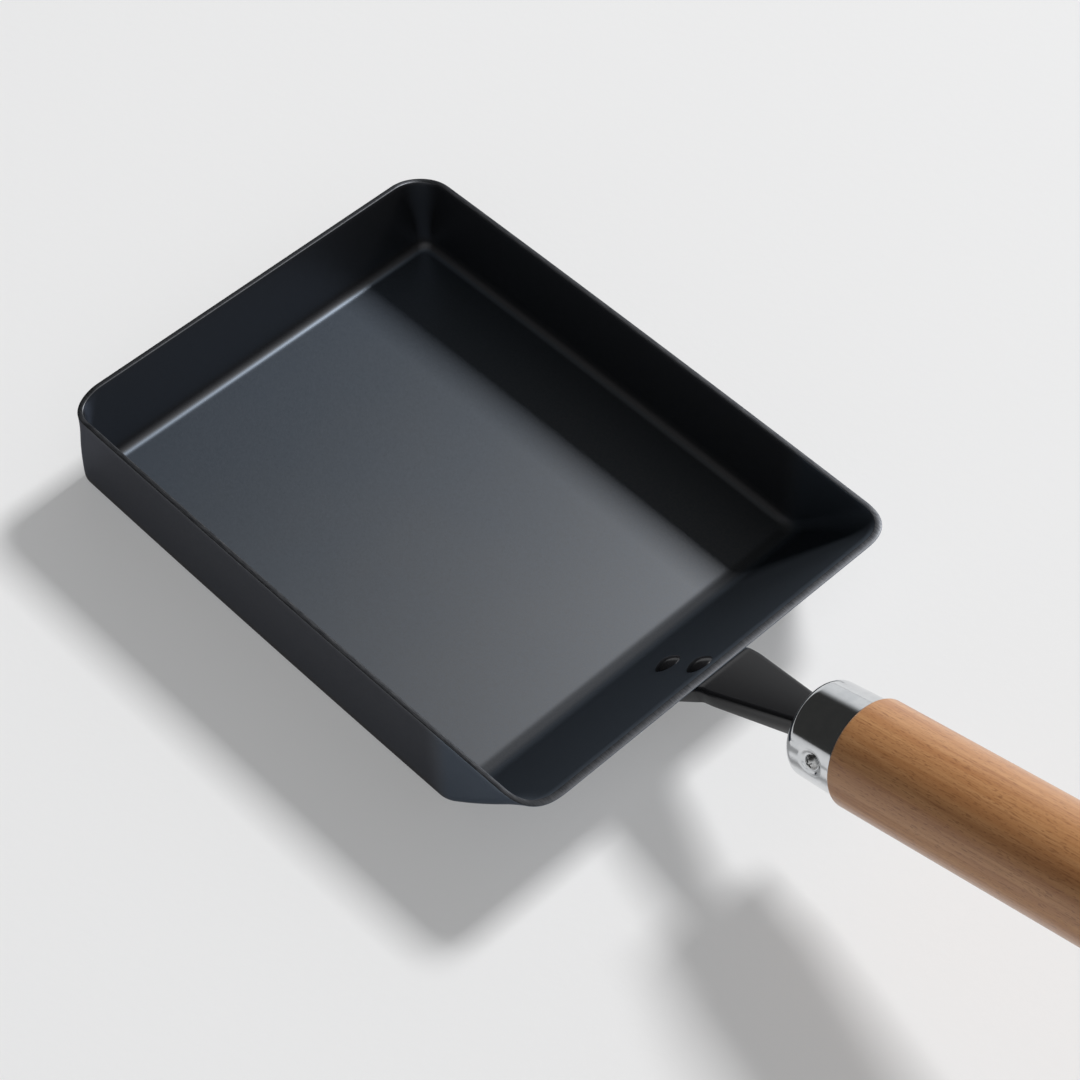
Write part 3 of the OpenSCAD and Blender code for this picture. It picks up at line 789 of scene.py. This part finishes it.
def black_paint():
    """The stem's glossy black, with a slight orange peel."""
    black, dusty = (0.006, 0.006, 0.007), (0.012, 0.012, 0.013)
    f = Finish("black_paint")
    spot = f.place()
    peel = f.noise(spot, 0.7, 2)
    dust = f.noise(spot, 4.0, 3)
    colour = f.blend(f.step(dust, 0.45, 0.75), black, dusty)
    return f.paint(Base_Color=colour, Roughness=0.19 + dust * 0.1, Normal=f.bump(peel, 0.12, 0.05))


def black_rivet():
    black, scuffed = (0.008, 0.008, 0.009), (0.02, 0.02, 0.021)
    f = Finish("black_rivet")
    scuff = f.noise(f.place(), 2.5, 4)
    colour = f.blend(f.step(scuff, 0.5, 0.8), black, scuffed)
    return f.paint(Base_Color=colour, Roughness=0.14 + scuff * 0.12, Normal=f.bump(scuff, 0.08, 0.03))


def bright_plate():
    """The ferrule's plating: bright, with faint marks along the grip where it was drawn."""
    hazy, clear = (0.66, 0.675, 0.69), (0.72, 0.73, 0.74)
    f = Finish("bright_plate")
    drawn = f.noise(f.on_grip((0.3, 5, 5)), 1.0, 3)
    haze = f.noise(f.on_grip(), 0.35, 3)
    colour = f.blend(f.step(haze, 0.3, 0.7), hazy, clear)
    return f.paint(Base_Color=colour, Metallic=1.0, Roughness=0.05 + drawn * 0.08,
                   Normal=f.bump(drawn, 0.06, 0.03))


def screw_steel():
    dull, bright = (0.42, 0.42, 0.42), (0.62, 0.62, 0.61)
    f = Finish("screw_steel")
    wear = f.noise(f.place(), 3.0, 3)
    colour = f.blend(f.step(wear, 0.35, 0.7), dull, bright)
    return f.paint(Base_Color=colour, Metallic=1.0, Roughness=0.2 + wear * 0.15,
                   Normal=f.bump(wear, 0.1, 0.03))


def beech():
    """Lacquered beech: wide bands and streaks along the grip, short flecks and fine pores."""
    dark_band, pale_band = (0.4, 0.178, 0.066), (0.52, 0.27, 0.115)
    streak, fleck, pore = (0.3, 0.115, 0.04), (0.21, 0.075, 0.028), (0.14, 0.045, 0.016)
    f = Finish("beech")
    bands = f.noise(f.on_grip((0.02, 0.35, 0.35)), 1.0, 3, 0.6, 0.6)
    streaks = f.noise(f.on_grip((0.025, 2.2, 2.2)), 1.0, 3, 0.6, 0.3)
    flecks = f.noise(f.on_grip((0.5, 3.1, 3.1)), 1.0, 1.0, 0.4)
    pores = f.noise(f.on_grip((0.9, 9, 9)), 1.0, 1.0, 0.5)
    wood = f.blend(f.step(bands, 0.25, 0.75), dark_band, pale_band)
    wood = f.blend(f.step(streaks, 0.42, 0.72) * 0.5, wood, streak)
    wood = f.blend(f.step(flecks, 0.6, 0.67) * 0.5, wood, fleck)
    wood = f.blend(f.step(pores, 0.62, 0.72) * 0.35, wood, pore)
    height = 1 - f.step(flecks, 0.58, 0.7) * 0.7 - f.step(pores, 0.6, 0.72) * 0.3
    return f.paint(Base_Color=wood, Roughness=0.32 + streaks * 0.12, Coat_Weight=0.35, Coat_Roughness=0.22,
                   Normal=f.bump(height, 0.15, 0.04))


def wire_steel():
    dull, bright = (0.5, 0.51, 0.52), (0.62, 0.63, 0.645)
    f = Finish("wire_steel")
    drawn = f.noise(f.place((3, 3, 0.5)), 1.0, 3)
    colour = f.blend(f.step(drawn, 0.3, 0.7), dull, bright)
    return f.paint(Base_Color=colour, Metallic=1.0, Roughness=0.22 + drawn * 0.12,
                   Normal=f.bump(drawn, 0.1, 0.02))


# The pieces

def show(piece, node, materials=(), body="pan"):
    """Puts a finished piece in the place of its solid, and on its body."""
    for material in materials:
        piece.data.materials.append(material)
    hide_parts(node)
    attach(piece, body)


rivet_black, beech_wood, wire_zinc = black_rivet(), beech(), wire_steel()
rivets_set = rivet_tree(rivet_black)
show(pan_shell(), "pan_body", (pan_steel(), ground_steel()))
show(stem_bracket(), "handle_stem", (black_paint(),))
show(rivet("lower_rivet", RIVET_DROPS[0], rivets_set), "rivet_lower")
show(rivet("upper_rivet", RIVET_DROPS[1], rivets_set), "rivet_upper")
show(ferrule_cap(), "ferrule", (bright_plate(),))
show(cross_screw(), "ferrule_screw", (screw_steel(),))
show(turned_grip(turned_tree(beech_wood)), "wood_grip")
show(hinge_bush(), "bail_bush", (wire_zinc,))
show(wire_bail(wire_tree(wire_zinc)), "hang_bail", body="bail")


# The studio

# Places in metres, azimuths and elevations in degrees
CAMERA_AT, CAMERA_AZ, CAMERA_TILT, CAMERA_ROLL = Vector((0.39794, -0.32935, 0.64013)), 137.23, 51.88, -1.15
LENS, SENSOR = 98.93, 36.0
KEY_AZ, KEY_EL, KEY_AWAY, KEY_SIDE, KEY_POWER = 90, 45, 2.4, 0.48, 61
KEY_AIM = Vector((0.06, 0, 0))
FLOOR_REACH = 6.0


def direction(azimuth, elevation):
    a, e = math.radians(azimuth), math.radians(elevation)
    return Vector((math.cos(e) * math.cos(a), math.cos(e) * math.sin(a), math.sin(e)))


def photo_camera():
    data = bpy.data.cameras.new("camera")
    data.lens, data.sensor_width = LENS, SENSOR
    data.clip_start, data.clip_end = 0.01, 50
    camera = in_scene("camera", data)
    ahead = direction(CAMERA_AZ, -CAMERA_TILT)
    right = ahead.cross(Vector((0, 0, 1))).normalized()
    up = right.cross(ahead)
    roll = math.radians(CAMERA_ROLL)
    c, s = math.cos(roll), math.sin(roll)
    axes = Matrix((c * right + s * up, c * up - s * right, -ahead)).transposed()
    camera.matrix_world = Matrix.Translation(CAMERA_AT) @ axes.to_4x4()
    bpy.context.scene.camera = camera


def key_lamp():
    """One soft box behind the pan, as the photograph's shadows show."""
    data = bpy.data.lights.new("key", "AREA")
    data.shape = "RECTANGLE"
    data.size = data.size_y = KEY_SIDE
    data.energy = KEY_POWER
    lamp = in_scene("key", data)
    way = direction(KEY_AZ, KEY_EL)
    lamp.location = KEY_AIM + way * KEY_AWAY
    lamp.rotation_euler = way.to_track_quat("Z", "Y").to_euler()


def pale_floor():
    """Pale, painted a little darker towards the lamp as shade that evens out its stronger light there, with a
    faint glow that lifts the shadows.
    """
    near, far, glow = (0.62, 0.62, 0.622), (0.49, 0.49, 0.492), (0.235, 0.235, 0.235)
    f = Finish("studio_floor")
    relief = f.noise(f.place(), 0.35, 4)
    away = f.node("SeparateXYZ", sockets={"Vector": f.place()}, out="Y")
    # painted shade: darker towards the lamp, where its light is stronger
    colour = f.blend(f.step(away, -300, 400), near, far)
    return f.paint(Base_Color=colour, Roughness=0.9, Specular_IOR_Level=0.2, Emission_Color=glow,
                   Emission_Strength=1.0, Normal=f.bump(relief, 0.25, 0.15))


def studio_floor():
    mesh = bpy.data.meshes.new("studio_floor")
    corners = [(-1, -1), (1, -1), (1, 1), (-1, 1)]
    mesh.from_pydata([(x * FLOOR_REACH, y * FLOOR_REACH, 0) for x, y in corners], [], [(0, 1, 2, 3)])
    mesh.materials.append(pale_floor())
    in_scene("studio_floor", mesh)


def studio_world():
    """A pale room with a dark side; the camera itself sees a plain pale wall."""
    wall, ceiling, far_wall = (0.8, 0.81, 0.82), (0.5, 0.51, 0.52), (0.42, 0.425, 0.43)
    dark, seen_wall = (0.035, 0.035, 0.034), (0.8, 0.8, 0.802)
    world = bpy.data.worlds.new("studio")
    bpy.context.scene.world = world
    f = Finish("studio", world)
    way = f.node("TexCoord", out="Generated")

    def towards(azimuth, elevation):
        return f.node("VectorMath", {"operation": "DOT_PRODUCT"}, {
            0: way, 1: direction(azimuth, elevation)}, out="Value")

    def patch(azimuth, elevation, outer, inner):
        """1 within inner degrees of a direction, fading to 0 at outer degrees."""
        start, end = (math.cos(math.radians(angle)) for angle in (outer, inner))
        return f.step(towards(azimuth, elevation), start, end)

    room = f.blend(f.step(towards(0, 90), 0.1, 0.9), wall, ceiling)
    room = f.blend(patch(15, 15, 75, 45), room, far_wall)
    dark_side, dark_top = patch(207, 40, 56, 44), patch(137, 57, 38, 24)
    room = f.blend(1 - (1 - dark_side) * (1 - dark_top), room, dark)
    seen = f.node("LightPath", out="Is Camera Ray")
    shown = f.blend(seen, room, seen_wall)
    light = f.node("Background", sockets={"Color": shown, "Strength": 1.0})
    end = f.tree.nodes.new("ShaderNodeOutputWorld")
    f.tree.links.new(light.socket, end.inputs[0])


photo_camera()
key_lamp()
studio_floor()
studio_world()
bpy.context.scene.view_settings.view_transform = "Standard"
